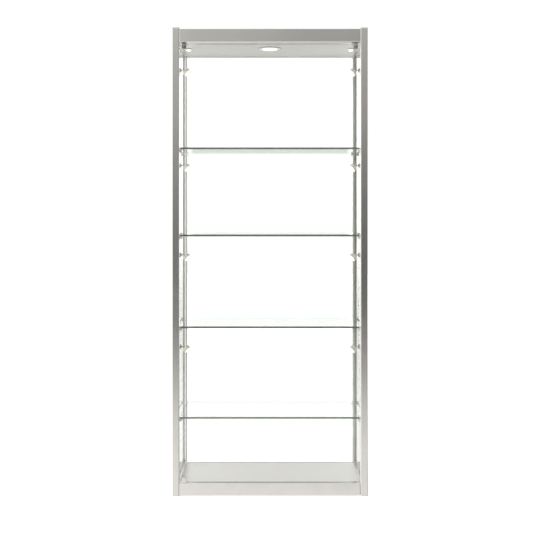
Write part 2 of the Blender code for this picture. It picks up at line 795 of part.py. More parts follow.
box(
    "lighting_driver",
    (DRIVER_X[0], DRIVER_Y[0], DRIVER_LOW),
    (DRIVER_X[1], DRIVER_Y[1], DRIVER_LOW + DRIVER_HEIGHT),
    DRIVER_CASE,
    bevel=2.0,
    segments=2,
)
for side, side_word in SIDES:
    left, right = span(side, PANE_X - GAP, PANE_X - GAP - LEAD_THICKNESS)
    box(
        f"spot_lead_{side_word}",
        (left, LEAD_Y, SPOT_HEIGHTS[-1] - LEAD_TAIL),
        (right, LEAD_Y + LEAD_WIDTH, HEADER_BOTTOM - GAP),
        LEAD,
        bevel=0.4,
    )

# ---- door -------------------------------------------------------------------------------
# Door pieces are drawn about the pivot axis in x and y, with heights from the floor.
CLAMP_WIDTH = 17.0
CLAMP_HEIGHT = 18.0  # cheeks, over the glass
CHEEK_FACE = DOOR_THICKNESS / 2 + GAP  # inner faces of the cheeks
FRONT_CHEEK = 1.8
REAR_CHEEK = 2.4
BRIDGE_NEAR = 0.4  # bridge faces, beyond the edge of the glass
BRIDGE_FAR = 2.3
BRIDGE_OVERLAP = 1.0  # bridge into the cheeks
PIN_ROOT = 1.0  # start of the pin beyond the edge of the glass
PIN_REACH = 7.0  # into the header or plinth

door_axis = add_axis("door_axis", (PIVOT_X, DOOR_MID_Y, 0))
box(
    "door_pane",
    (-DOOR_HALF_WIDTH - PIVOT_X, -DOOR_THICKNESS / 2, DOOR_BOTTOM),
    (DOOR_HALF_WIDTH - PIVOT_X, DOOR_THICKNESS / 2, DOOR_TOP),
    CLEAR,
    bevel=PANE_BEVEL,
    parent=door_axis,
)


def clamp_shapes(edge, inward):
    """A U over the glass: two cheeks and a bridge. inward is -1 at the top edge, +1 at the bottom."""
    half = CLAMP_WIDTH / 2
    cheek_low, cheek_top = sorted((edge - inward * BRIDGE_FAR, edge + inward * CLAMP_HEIGHT))
    bridge_low, bridge_top = sorted((edge - inward * BRIDGE_NEAR, edge - inward * BRIDGE_FAR))
    bridge_reach = CHEEK_FACE + BRIDGE_OVERLAP
    return [
        block((-half, -CHEEK_FACE - FRONT_CHEEK, cheek_low), (half, -CHEEK_FACE, cheek_top)),
        block((-half, CHEEK_FACE, cheek_low), (half, CHEEK_FACE + REAR_CHEEK, cheek_top)),
        block((-half, -bridge_reach, bridge_low), (half, bridge_reach, bridge_top)),
    ]


def pin_shape(low, high):
    return turned_shape(cylinder(PIN_RADIUS, low, high), 20)


fused(
    "door_clamp_top",
    [*clamp_shapes(DOOR_TOP, -1), pin_shape(DOOR_TOP + PIN_ROOT, HEADER_BOTTOM + PIN_REACH)],
    DARK_METAL,
    parent=door_axis,
)
fused(
    "door_clamp_bottom",
    [
        *clamp_shapes(DOOR_BOTTOM, 1),
        pin_shape(PLINTH_FRONT_TOP - PIN_REACH, DOOR_BOTTOM - PIN_ROOT),
    ],
    STEEL,
    parent=door_axis,
)
# The strike mirrors the upper clamp at the door's free side.
fused(
    "door_strike",
    clamp_shapes(DOOR_TOP, -1),
    STEEL,
    parent=door_axis,
    location=(-2 * PIVOT_X, 0, 0),
)

# ---- pivot bushes and magnetic catch ----------------------------------------------------
BUSH_BORE = PIN_RADIUS + 0.35
BUSH_DEPTH = 9.6
BUSH_BORE_DEPTH = 7.6
CATCH_DROP = CLAMP_HEIGHT - 2.0  # below the top of the door


def pivot_bush(name, surface, inward, mouth):
    """A blind bush let into a rail. mouth is the depth of its open end, negative if proud."""
    end, floor, rim = [
        surface + inward * depth for depth in (BUSH_DEPTH, BUSH_BORE_DEPTH, mouth)
    ]
    profile = [
        (0, end),
        (BUSH_RADIUS, end),
        (BUSH_RADIUS, rim),
        (BUSH_BORE, rim),
        (BUSH_BORE, floor),
        (0, floor),
    ]
    turned(name, profile, 24, BUSH, x=PIVOT_X, y=DOOR_MID_Y)


pivot_bush("pivot_bush_top", HEADER_BOTTOM, inward=1, mouth=0.1)
pivot_bush("pivot_bush_bottom", PLINTH_FRONT_TOP, inward=-1, mouth=-0.2)

# The catch hangs under the fascia, behind the strike.
box(
    "magnet_catch",
    (-PIVOT_X - CLAMP_WIDTH / 2, DOOR_MID_Y + CHEEK_FACE + REAR_CHEEK + GAP, DOOR_TOP - CATCH_DROP),
    (-PIVOT_X + CLAMP_WIDTH / 2, -INNER_Y - 0.5, HEADER_BOTTOM - GAP),
    DARK_METAL,
    bevel=0.8,
)

# ---- spotlights -------------------------------------------------------------------------
SPOT_REACH = 15.0  # pane to tilt axis
SPOT_REST_TILT = 43.0  # degrees below the horizontal, before the swivel
SPOT_REST_SWIVEL = 25.0  # degrees towards the door
DISC_THICKNESS = 3.2
EYE_HALF = 2.0  # half the eye's thickness
EYE_RADIUS = 4.2
EYE_BORE = 2.1
EYE_BACK = SPOT_REACH - EYE_RADIUS
EYE_CUTTER_HALF = 4.0
EYE_SEGMENTS = 12
PIN_SEGMENTS = 10
HEAD_PIN_RADIUS = 1.75
HEAD_PIN_HALF = EYE_HALF + 1.6
HEAD_RADIUS = 17.5
HEAD_LENGTH = 23.5  # tilt axis to bezel
EAR_IN = EYE_HALF + 0.35
EAR_OUT = EYE_HALF + 2.0
ARM_LENGTH = 7.0
ARM_HALF_HEIGHT = EYE_RADIUS - 0.6

# Profiles: radius, distance from the pane.
STEM_PROFILE = [
    (0, GAP),
    (SPOT_DISC_RADIUS, GAP),
    (SPOT_DISC_RADIUS, DISC_THICKNESS - 1.0),
    (SPOT_DISC_RADIUS - 1.2, DISC_THICKNESS),
    (3.6, DISC_THICKNESS + 0.4),
    (2.4, EYE_BACK - 1.2),
    (1.9, EYE_BACK - 0.5),
    (1.9, EYE_BACK + 1.2),
    (0, EYE_BACK + 1.2),
]
# Radius, distance from the tilt axis.
CAN_PROFILE = [
    (0, 4.7),
    (9.0, 4.7),
    (HEAD_RADIUS - 2.1, 8.4),
    (HEAD_RADIUS - 0.5, 11.2),
    (HEAD_RADIUS - 0.5, HEAD_LENGTH - 4.0),
    (HEAD_RADIUS, HEAD_LENGTH - 3.4),
    (HEAD_RADIUS, HEAD_LENGTH),
    (HEAD_RADIUS - 1.8, HEAD_LENGTH),
    (HEAD_RADIUS - 2.1, HEAD_LENGTH - 1.4),
    (0, HEAD_LENGTH - 1.4),
]


def cross_cylinder(radius, start, end, segments, x=0.0):
    """A cylinder along Y, centred at x."""
    shape = turned_shape(cylinder(radius, start, end), segments, "Y")
    bmesh.ops.translate(shape, verts=shape.verts, vec=Vector((x, 0, 0)) * MM)
    return shape


def stem_mesh():
    """Stem along +X from the pane: bonded disc, neck, and an eye that the head tilts on."""
    body = turned_shape(STEM_PROFILE, 16, "X")
    eye = cross_cylinder(EYE_RADIUS, -EYE_HALF, EYE_HALF, EYE_SEGMENTS, x=SPOT_REACH)
    bore = cross_cylinder(
        EYE_BORE, -EYE_CUTTER_HALF, EYE_CUTTER_HALF, PIN_SEGMENTS, x=SPOT_REACH
    )
    return fused_mesh("spot_stem", [body, eye], DARK_METAL, cutter=bore)


def head_mesh():
    """Short can along +X, its tilt axis at the origin, with fork ears and a pin at the back."""
    shapes = [turned_shape(CAN_PROFILE, 20, "X")]
    for start, end in ((-EAR_OUT, -EAR_IN), (EAR_IN, EAR_OUT)):
        shapes.append(cross_cylinder(EYE_RADIUS, start, end, EYE_SEGMENTS))
        shapes.append(block((0.0, start, -ARM_HALF_HEIGHT), (ARM_LENGTH, end, ARM_HALF_HEIGHT)))
    shapes.append(
        cross_cylinder(HEAD_PIN_RADIUS, -HEAD_PIN_HALF, HEAD_PIN_HALF, PIN_SEGMENTS)
    )
    return fused_mesh("spot_head", shapes, LAMP_WHITE)


stem = stem_mesh()
head = head_mesh()
for side, side_word in SIDES:
    for number, height in enumerate(SPOT_HEIGHTS, 1):
        spot = f"spot_{side_word}_{number}"
        # the swivel axis runs straight in from the pane, and the tilt axis crosses it
        swivel = add_axis(
            f"{spot}_swivel_axis",
            (side * PANE_X, LIGHT_LINE_Y, height),
            rotation=(side * SPOT_REST_SWIVEL, 0, 0 if side < 0 else 180),
        )
        add_object(f"{spot}_stem", stem, DARK_METAL, parent=swivel)
        tilt = add_axis(
            f"{spot}_tilt_axis",
            (SPOT_REACH, 0, 0),
            parent=swivel,
            rotation=(0, SPOT_REST_TILT, 0),
        )
        add_object(f"{spot}_head", head, LAMP_WHITE, parent=tilt)
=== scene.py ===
"""Looks of the glass display case: materials, finer fittings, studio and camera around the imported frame."""

import math

import bmesh
import bpy
from mathutils import Matrix, Vector


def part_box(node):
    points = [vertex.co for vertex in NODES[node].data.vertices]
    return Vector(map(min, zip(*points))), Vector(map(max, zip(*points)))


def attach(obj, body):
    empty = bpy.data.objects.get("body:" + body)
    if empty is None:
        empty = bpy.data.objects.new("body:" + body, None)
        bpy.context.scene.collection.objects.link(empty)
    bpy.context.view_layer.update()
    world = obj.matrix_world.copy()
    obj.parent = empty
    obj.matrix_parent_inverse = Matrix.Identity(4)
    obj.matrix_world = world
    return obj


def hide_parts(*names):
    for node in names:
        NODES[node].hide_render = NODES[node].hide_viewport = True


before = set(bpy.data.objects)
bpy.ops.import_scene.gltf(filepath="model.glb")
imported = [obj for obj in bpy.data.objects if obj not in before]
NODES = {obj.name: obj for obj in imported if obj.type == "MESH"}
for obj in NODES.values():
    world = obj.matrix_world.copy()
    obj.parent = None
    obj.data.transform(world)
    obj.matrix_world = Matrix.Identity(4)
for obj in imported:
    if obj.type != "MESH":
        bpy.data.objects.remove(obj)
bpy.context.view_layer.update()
MM = 0.001


# =============================================================== node helpers
class Tree:
    """A short way to write a node tree."""

    def __init__(self, tree):
        self.tree = tree
        self.tree.nodes.clear()

    def add(self, kind, *links, **values):
        node = self.tree.nodes.new("ShaderNode" + kind)
        for key, value in values.items():
            if hasattr(node, key) and key not in node.inputs:
                setattr(node, key, value)
        for key, value in values.items():
            if key in node.inputs:
                self.put(node.inputs[key], value)
        for i, value in enumerate(links):
            if value is not None:
                self.put(node.inputs[i], value)
        return node

    def put(self, socket, value):
        if isinstance(value, bpy.types.NodeSocket):
            self.tree.links.new(value, socket)
        elif isinstance(value, bpy.types.Node):
            self.tree.links.new(value.outputs[0], socket)
        elif isinstance(value, (tuple, list)) and len(value) == 3 and len(getattr(socket, "default_value", ())) == 4:
            socket.default_value = (*value, 1.0)
        else:
            socket.default_value = value

    def maths(self, operation, a, b=0.0, c=None, clamp=False):
        node = self.tree.nodes.new("ShaderNodeMath")
        node.operation = operation
        node.use_clamp = clamp
        self.put(node.inputs[0], a)
        self.put(node.inputs[1], b)
        if c is not None:
            self.put(node.inputs[2], c)
        return node.outputs[0]

    def remap(self, value, low, high, to_low, to_high):
        node = self.tree.nodes.new("ShaderNodeMapRange")
        for i, v in enumerate((value, low, high, to_low, to_high)):
            self.put(node.inputs[i], v)
        return node.outputs[0]

    def mix_colour(self, factor, a, b, blend="MIX"):
        node = self.tree.nodes.new("ShaderNodeMix")
        node.data_type = "RGBA"
        node.blend_type = blend
        self.put(node.inputs[0], factor)
        self.put(node.inputs[6], a)
        self.put(node.inputs[7], b)
        return node.outputs[2]

    def coords(self, scale=(1, 1, 1), location=(0, 0, 0)):
        """Object coordinates in metres, stretched. Every CAD node and every piece has its origin at the frame's origin."""
        where = self.tree.nodes.new("ShaderNodeTexCoord")
        mapping = self.tree.nodes.new("ShaderNodeMapping")
        mapping.inputs["Scale"].default_value = scale
        mapping.inputs["Location"].default_value = location
        self.tree.links.new(where.outputs["Object"], mapping.inputs[0])
        return mapping.outputs[0]

    def noise(self, scale, detail=2.0, roughness=0.5, stretch=(1, 1, 1), shift=(0, 0, 0)):
        node = self.tree.nodes.new("ShaderNodeTexNoise")
        self.put(node.inputs["Vector"], self.coords(stretch, shift))
        node.inputs["Scale"].default_value = scale
        node.inputs["Detail"].default_value = detail
        node.inputs["Roughness"].default_value = roughness
        return node.outputs[0]

    def bump(self, height, strength, distance, normal=None):
        node = self.tree.nodes.new("ShaderNodeBump")
        node.inputs["Strength"].default_value = strength
        node.inputs["Distance"].default_value = distance
        self.put(node.inputs["Height"], height)
        if normal is not None:
            self.put(node.inputs["Normal"], normal)
        return node.outputs[0]

    def shine(self, **values):
        node = self.tree.nodes.new("ShaderNodeBsdfPrincipled")
        for key, value in values.items():
            self.put(node.inputs[key.replace("_", " ")], value)
        return node

    def output(self, shader):
        out = self.tree.nodes.new("ShaderNodeOutputMaterial")
        self.put(out.inputs[0], shader)


def new_material(name):
    mat = bpy.data.materials.new(name)
    mat.use_nodes = True
    return mat, Tree(mat.node_tree)


def grey(value):
    return (value, value, value)


def tinted(colour, factor):
    return tuple(c * factor for c in colour)


# =============================================================== materials
def satin_aluminium(name, axis, base=(0.80, 0.788, 0.765), roughness=0.25, edge=0.0014, metallic=1.0):
    """Anodised extrusion: fine drawing lines along its length, soft streaks, faint handling marks."""
    mat, t = new_material(name)
    along = "XYZ".index(axis)

    def stretch(across, length):
        return tuple(length if i == along else across for i in range(3))

    fine = t.noise(1.0, 3.0, 0.6, stretch(1500.0, 6.0))
    streak = t.noise(1.0, 2.0, 0.5, stretch(170.0, 1.3), (3.1, 1.7, 0.4))
    broad = t.noise(1.0, 2.0, 0.5, stretch(26.0, 1.6), (0.3, 5.2, 2.2))
    hands = t.noise(14.0, 4.0, 0.65, shift=(2.0, 0.5, 1.0))
    shade = t.maths("ADD", t.maths("MULTIPLY", streak, 0.034), t.maths("MULTIPLY", broad, 0.026))
    shade = t.maths("ADD", shade, t.maths("MULTIPLY", fine, 0.04))
    shade = t.maths("ADD", shade, 0.95)
    colour = t.mix_colour(1.0, base, t.add("CombineColor", shade, shade, shade), "MULTIPLY")
    rough = t.maths("ADD", roughness - 0.065, t.maths("MULTIPLY", fine, 0.09))
    rough = t.maths("ADD", rough, t.maths("MULTIPLY", t.remap(hands, 0.45, 0.75, 0.0, 1.0), 0.03))
    eased = t.tree.nodes.new("ShaderNodeBevel")
    eased.samples = 6
    eased.inputs["Radius"].default_value = edge
    lines = t.bump(fine, 0.12, 0.00008, eased.outputs[0])
    normal = t.bump(streak, 0.10, 0.0004, lines)
    tangent = t.tree.nodes.new("ShaderNodeTangent")
    tangent.direction_type = "RADIAL"
    tangent.axis = axis
    t.output(
        t.shine(
            Base_Color=colour, Metallic=metallic, Roughness=rough, Normal=normal, Anisotropic=0.55,
            Tangent=tangent.outputs[0],
        )
    )
    return mat


def sheet_aluminium(name):
    """Rolled cover sheet with a faint grain and a few scuffs."""
    mat, t = new_material(name)
    grain = t.noise(1.0, 3.0, 0.6, (4.0, 900.0, 900.0))
    cloud = t.noise(6.0, 3.0, 0.55)
    scuff = t.noise(1.0, 4.0, 0.7, (30.0, 190.0, 60.0), (1.2, 0.0, 0.0))
    shade = t.maths("ADD", t.maths("MULTIPLY", cloud, 0.10), t.maths("MULTIPLY", grain, 0.05))
    shade = t.maths("ADD", shade, 0.90)
    colour = t.mix_colour(1.0, (0.74, 0.735, 0.715), t.add("CombineColor", shade, shade, shade), "MULTIPLY")
    rough = t.maths("ADD", 0.33, t.maths("MULTIPLY", t.remap(scuff, 0.52, 0.75, 0.0, 1.0), 0.14))
    rough = t.maths("ADD", rough, t.maths("MULTIPLY", cloud, 0.06))
    t.output(t.shine(Base_Color=colour, Metallic=1.0, Roughness=rough, Normal=t.bump(grain, 0.15, 0.0001)))
    return mat


def panel_lacquer(name, base, roughness, stretch=(1, 1, 1)):
    """Pale semi-gloss lacquer: orange peel, soft colour drift, a few fine rub marks."""
    mat, t = new_material(name)
    peel = t.noise(420.0, 2.0, 0.5)
    drift = t.noise(3.0, 3.0, 0.5)
    speck = t.noise(900.0, 1.0, 0.4)
    rub = t.noise(1.0, 4.0, 0.7, (35.0, 14.0, 14.0), (0.7, 0.3, 0.0))
    shade = t.maths("ADD", 0.965, t.maths("MULTIPLY", drift, 0.05))
    shade = t.maths("ADD", shade, t.maths("MULTIPLY", speck, 0.02))
    colour = t.mix_colour(1.0, base, t.add("CombineColor", shade, shade, shade), "MULTIPLY")
    rough = t.maths("ADD", roughness, t.maths("MULTIPLY", t.remap(rub, 0.5, 0.8, 0.0, 1.0), 0.10))
    rough = t.maths("ADD", rough, t.maths("MULTIPLY", peel, 0.04))
    t.output(t.shine(Base_Color=colour, Roughness=rough, Normal=t.bump(peel, 0.06, 0.0002), Coat_Weight=0.15, Coat_Roughness=0.12))
    return mat


def pane_glass(name, axis, edge_base=(0.15, 0.19, 0.155), tint=(0.993, 0.996, 0.994), slant=None):
    """Clear sheet glass: Fresnel mirror over a clear pass-through on the broad faces, dark green polished edges.

    axis is the pane's thickness. Cycles' Fresnel turns its index round on the far side of a sheet, so the index is turned back there."""
    mat, t = new_material(name)
    geometry = t.tree.nodes.new("ShaderNodeNewGeometry")
    where = t.tree.nodes.new("ShaderNodeTexCoord")  # 0 to 1 through the pane's own thickness, so a swung door keeps its clear faces
    through = t.add("SeparateXYZ", where.outputs["Generated"]).outputs["XYZ".index(axis)]
    edge = t.maths("MULTIPLY", t.maths("GREATER_THAN", through, 0.004), t.maths("LESS_THAN", through, 0.996))
    behind = geometry.outputs["Backfacing"]
    index = t.maths("ADD", 1.5, t.maths("MULTIPLY", behind, 1.0 / 1.5 - 1.5))
    wipe = t.noise(1.0, 3.0, 0.6, (9.0, 9.0, 5.0), (0.4, 1.1, 0.2))
    ripple = t.noise(5.0, 1.0, 0.4, (1.0, 1.0, 0.4))
    normal = t.bump(ripple, 0.02, 0.0008)
    fresnel = t.tree.nodes.new("ShaderNodeFresnel")
    t.put(fresnel.inputs["IOR"], index)
    mirror = t.tree.nodes.new("ShaderNodeBsdfGlossy")
    mirror.inputs["Color"].default_value = (0.97, 0.985, 0.975, 1)
    t.put(mirror.inputs["Roughness"], t.remap(wipe, 0.35, 0.75, 0.005, 0.035))
    t.put(mirror.inputs["Normal"], normal)
    if slant is None:
        clear = t.add("BsdfTransparent", tint)
    else:  # a deeper green where the pane is looked through at a slant
        turned = t.tree.nodes.new("ShaderNodeLayerWeight").outputs["Facing"]
        straight = t.tree.nodes.new("ShaderNodeLightPath").outputs["Is Camera Ray"]
        share = t.maths("MULTIPLY", t.remap(turned, 0.05, 0.25, 0.0, 1.0), straight)
        clear = t.add("BsdfTransparent", t.mix_colour(share, tint, slant))
    broad = t.add("MixShader", fresnel.outputs[0], clear, mirror)
    # edges: deep green with streaks along their length, clearer when met from inside the glass
    streak = t.noise(1.0, 3.0, 0.6, (7.0, 7.0, 7.0) if axis == "Z" else (40.0, 40.0, 6.0), (0.9, 0.1, 0.6))
    fine = t.noise(260.0, 2.0, 0.5)
    light = t.maths("ADD", t.remap(streak, 0.3, 0.7, 0.86, 1.10), t.maths("MULTIPLY", fine, 0.06))
    green = t.mix_colour(1.0, edge_base, t.add("CombineColor", light, light, light), "MULTIPLY")
    polished = t.shine(
        Base_Color=green, Roughness=t.remap(fine, 0.3, 0.7, 0.10, 0.22), IOR=1.5,
        Normal=t.bump(fine, 0.05, 0.0001),
    )
    inner = t.add("BsdfTransparent", (0.70, 0.80, 0.74))
    rim = t.add("MixShader", behind, polished, inner)
    t.output(t.add("MixShader", edge, broad, rim))
    return mat


def nickel(name, base=(0.20, 0.195, 0.185), roughness=0.28):
    """Dark nickel plate with a fine satin grain."""
    mat, t = new_material(name)
    grain = t.noise(2600.0, 2.0, 0.5)
    cloud = t.noise(120.0, 3.0, 0.6)
    shade = t.maths("ADD", 0.86, t.maths("MULTIPLY", cloud, 0.28))
    colour = t.mix_colour(1.0, base, t.add("CombineColor", shade, shade, shade), "MULTIPLY")
    rough = t.maths("ADD", roughness - 0.04, t.maths("MULTIPLY", grain, 0.10))
    t.output(t.shine(Base_Color=colour, Metallic=1.0, Roughness=rough, Normal=t.bump(grain, 0.15, 0.00005)))
    return mat


def plated_steel(name, base=(0.66, 0.66, 0.645), metallic=1.0, groove_shade=None, lift=0.0):
    """Bright zinc-plated strip with a rolled grain. groove_shade is the span of x, in metres, of a band darkened as
    painted shade of a slotted channel; lift is an emission strength that makes the strip glow as painted light.
    """
    mat, t = new_material(name)
    grain = t.noise(1.0, 3.0, 0.6, (1400.0, 1400.0, 8.0))
    spangle = t.noise(180.0, 3.0, 0.55)
    shade = t.maths("ADD", 0.90, t.maths("MULTIPLY", spangle, 0.2))
    # painted shade: a band of x is darkened where the slotted channel would lie in shade
    if groove_shade is not None:
        across = t.add("SeparateXYZ", t.coords()).outputs[0]
        inside = t.maths("MULTIPLY", t.maths("GREATER_THAN", across, groove_shade[0]), t.maths("LESS_THAN", across, groove_shade[1]))
        shade = t.maths("MULTIPLY", shade, t.maths("SUBTRACT", 1.0, t.maths("MULTIPLY", inside, 0.55)))
    colour = t.mix_colour(1.0, base, t.add("CombineColor", shade, shade, shade), "MULTIPLY")
    rough = t.maths("ADD", 0.24, t.maths("MULTIPLY", grain, 0.14))
    # painted light: with lift above zero the strip glows in its own colour though it is no lamp
    t.output(
        t.shine(
            Base_Color=colour, Metallic=metallic, Roughness=rough, Normal=t.bump(grain, 0.15, 0.00006),
            Emission_Color=colour, Emission_Strength=lift,
        )
    )
    return mat


def moulded(name, base, roughness=0.5, grain_scale=2200.0, sheen=0.0):
    """Moulded plastic with a fine spark-eroded grain."""
    mat, t = new_material(name)
    grain = t.noise(grain_scale, 3.0, 0.6)
    cloud = t.noise(60.0, 2.0, 0.5)
    shade = t.maths("ADD", 0.93, t.maths("MULTIPLY", cloud, 0.14))
    colour = t.mix_colour(1.0, base, t.add("CombineColor", shade, shade, shade), "MULTIPLY")
    rough = t.maths("ADD", roughness - 0.05, t.maths("MULTIPLY", grain, 0.12))
    t.output(t.shine(Base_Color=colour, Roughness=rough, Normal=t.bump(grain, 0.2, 0.00008), Coat_Weight=sheen))
    return mat


def enamel(name, base=(0.70, 0.69, 0.62)):
    """Cream stove enamel on the lamp housings, with a soft drift in tone and a fine peel."""
    mat, t = new_material(name)
    peel = t.noise(1500.0, 2.0, 0.5)
    drift = t.noise(90.0, 3.0, 0.5)
    shade = t.maths("ADD", 0.95, t.maths("MULTIPLY", drift, 0.09))
    colour = t.mix_colour(1.0, base, t.add("CombineColor", shade, shade, shade), "MULTIPLY")
    rough = t.maths("ADD", 0.26, t.maths("MULTIPLY", peel, 0.08))
    t.output(
        t.shine(
            Base_Color=colour, Roughness=rough, Normal=t.bump(peel, 0.08, 0.00008), Coat_Weight=0.3,
            Coat_Roughness=0.1,
        )
    )
    return mat


def clear_sheath(name):
    """Clear flat sheath: mostly see-through, with a soft shine."""
    mat, t = new_material(name)
    waves = t.noise(1.0, 2.0, 0.5, (900.0, 900.0, 6.0))
    cloud = t.noise(40.0, 3.0, 0.5)
    shell = t.shine(
        Base_Color=(0.86, 0.86, 0.83), Roughness=t.remap(cloud, 0.3, 0.7, 0.18, 0.34), Normal=t.bump(waves, 0.1, 0.0001)
    )
    share = t.remap(waves, 0.4, 0.7, 0.06, 0.20)
    t.output(t.add("MixShader", share, t.add("BsdfTransparent", (0.99, 0.99, 0.985)), shell))
    return mat


def lit_lens(name, colour, strength, cell=700.0):
    """A lit diffuser with a fine prismatic pattern."""
    mat, t = new_material(name)
    cells = t.tree.nodes.new("ShaderNodeTexVoronoi")
    cells.inputs["Scale"].default_value = cell
    t.put(cells.inputs["Vector"], t.coords())
    glow = t.remap(cells.outputs["Distance"], 0.0, 0.8, 1.06, 0.86)
    tone = t.mix_colour(1.0, colour, t.add("CombineColor", glow, glow, glow), "MULTIPLY")
    t.output(
        t.shine(
            Base_Color=(0.9, 0.88, 0.82), Roughness=0.2, Emission_Color=tone, Emission_Strength=strength,
            Normal=t.bump(cells.outputs["Distance"], 0.2, 0.0002),
        )
    )
    return mat


ALU = {
    "X": satin_aluminium("satin_aluminium_along_x", "X", roughness=0.20, edge=0.0022),
    "Y": satin_aluminium("satin_aluminium_along_y", "Y", edge=0.0022),
    "Z": satin_aluminium("satin_aluminium_along_z", "Z"),
}
# header fascia: a darker copy of the satin aluminium, the extra darkness painted shade
FASCIA_PAINTED_SHADE = satin_aluminium("satin_aluminium_fascia_painted_shade", "X", (0.74, 0.729, 0.707), 0.20, 0.0022)
# front plinth rail: a paler copy of the satin aluminium, painted light from the bright floor in front
PLINTH_PAINTED_LIT = satin_aluminium("satin_aluminium_plinth_painted_lit", "X", (0.83, 0.814, 0.786), 0.20, 0.0022)
# rear header rail: the same aluminium made paler and less metallic, painted light from inside the case
REAR_RAIL_PAINTED_LIT = satin_aluminium("satin_aluminium_rear_rail_painted_lit", "X", (0.92, 0.91, 0.885), 0.26, 0.0022, 0.2)
SHEET = sheet_aluminium("cover_sheet")
DECK = panel_lacquer("deck_lacquer", (0.87, 0.858, 0.83), 0.26)
CEILING = panel_lacquer("ceiling_lacquer", (0.77, 0.762, 0.736), 0.34)
GLASS = {axis: pane_glass(f"pane_glass_{axis.lower()}", axis, slant=(0.86, 0.915, 0.885) if axis == "Y" else None) for axis in "XYZ"}
NICKEL = nickel("dark_nickel", (0.27, 0.265, 0.25))
STRIKE = nickel("strike_nickel", (0.42, 0.415, 0.40), 0.3)
STEEL = plated_steel("zinc_steel", (0.92, 0.915, 0.89), 0.25)
# rear right shelf strip: a darker copy of the zinc steel, the darkness painted shade on the side away from the light
STEEL_PAINTED_SHADE = plated_steel("zinc_steel_painted_shade", (0.80, 0.795, 0.77))
# rear left shelf strip: a paler copy of the zinc steel as painted light from the left, with a faint painted glow and a
# band of painted shade
STEEL_PAINTED_LIT = plated_steel("zinc_steel_painted_lit", (0.97, 0.965, 0.945), 0.05, (-0.3742, -0.3708), 0.15)
# bottom pivot clamp: a pale copy of the dark top clamp, the paleness painted light from the floor below
CLAMP_PAINTED_LIT = panel_lacquer("clamp_lacquer_painted_lit", (0.74, 0.73, 0.705), 0.3)
RING = panel_lacquer("ring_lacquer", (0.93, 0.92, 0.85), 0.28)
TRIM = nickel("satin_trim", (0.62, 0.60, 0.56), 0.25)
REFLECTOR = nickel("lamp_reflector", (0.86, 0.84, 0.78), 0.16)
CAP = moulded("cap_plastic", (0.47, 0.468, 0.455), 0.46)
BUSH = moulded("bush_plastic", (0.05, 0.05, 0.05), 0.42)
DRIVER = moulded("driver_case", (0.80, 0.80, 0.78), 0.5)
LEAD = clear_sheath("lead_sheath")
ENAMEL = enamel("lamp_enamel")
DOWN_LENS = lit_lens("downlight_glow", (1.0, 0.985, 0.93), 2.6, 420.0)
CORNER_LENS = lit_lens("corner_glow", (1.0, 0.99, 0.95), 1.5, 700.0)
SPOT_LENS = lit_lens("spot_glow", (1.0, 0.985, 0.89), 0.93, 800.0)


def paint(node, mat):
    obj = NODES[node]
    obj.data.materials.clear()
    obj.data.materials.append(mat)


# =============================================================== mesh helpers
def new_piece(name, bm, mats, body, smooth=35.0, matrix=None, replaces=()):
    bmesh.ops.recalc_face_normals(bm, faces=bm.faces)
    mesh = bpy.data.meshes.new(name)
    bm.to_mesh(mesh)
    bm.free()
    if matrix is not None:
        mesh.transform(matrix)
    for mat in mats:
        mesh.materials.append(mat)
    mesh.shade_smooth()
    mesh.set_sharp_from_angle(angle=math.radians(smooth))
    obj = bpy.data.objects.new(name, mesh)
    bpy.context.scene.collection.objects.link(obj)
    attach(obj, body)
    if replaces:
        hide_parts(*replaces)
    return obj


def lathe(bm, profile, segments, axis="X", mat=0, centre=(0, 0, 0)):
    """Revolves (radius, height) points, in millimetres, about an axis through centre. Ends on the axis close themselves."""
    turn = {
        "X": lambda r, h, a: (h, r * math.cos(a), r * math.sin(a)),
        "Y": lambda r, h, a: (r * math.sin(a), h, r * math.cos(a)),
        "Z": lambda r, h, a: (r * math.cos(a), r * math.sin(a), h),
    }[axis]
    c = Vector(centre)
    rings = []
    for radius, height in profile:
        count = 1 if radius == 0 else segments
        rings.append(
            [bm.verts.new((Vector(turn(radius, height, 2 * math.pi * i / segments)) + c) * MM) for i in range(count)]
        )
    closed = profile[0][0] != 0
    made = []
    for a, b in list(zip(rings, rings[1:])) + ([(rings[-1], rings[0])] if closed else []):
        for i in range(segments):
            j = (i + 1) % segments
            corners = list(dict.fromkeys([a[i % len(a)], a[j % len(a)], b[j % len(b)], b[i % len(b)]]))
            if len(corners) > 2:
                face = bm.faces.new(corners)
                face.material_index = mat
                made.append(face)
    return made


def block(bm, lo, hi, mat=0, radius=0.0, segments=3):
    """A box in millimetres, with its edges rounded."""
    made = bmesh.ops.create_cube(bm, size=1.0)["verts"]
    lo, hi = Vector(lo), Vector(hi)
    for v in made:
        v.co = Vector([(lo[i] + (hi[i] - lo[i]) * (v.co[i] + 0.5)) * MM for i in range(3)])
    faces = list({f for v in made for f in v.link_faces})
    for f in faces:
        f.material_index = mat
    if radius:
        edges = list({e for v in made for e in v.link_edges})
        bmesh.ops.bevel(
            bm, geom=edges, offset=radius * MM, segments=segments, affect="EDGES", profile=0.5, clamp_overlap=True,
            material=mat,
        )


def prism(bm, axis, outline, start, end, mat=0):
    """An outline in the plane across axis, run from start to end. Everything in millimetres."""
    at = {
        "X": lambda u, v, w: (w, u, v),
        "Y": lambda u, v, w: (u, w, v),
        "Z": lambda u, v, w: (u, v, w),
    }[axis]
    low = [bm.verts.new(Vector(at(u, v, start)) * MM) for u, v in outline]
    high = [bm.verts.new(Vector(at(u, v, end)) * MM) for u, v in outline]
    bm.faces.new(low[::-1]).material_index = mat
    bm.faces.new(high).material_index = mat
    count = len(outline)
    for i in range(count):
        j = (i + 1) % count
        bm.faces.new((low[i], low[j], high[j], high[i])).material_index = mat
    bmesh.ops.recalc_face_normals(bm, faces=bm.faces)


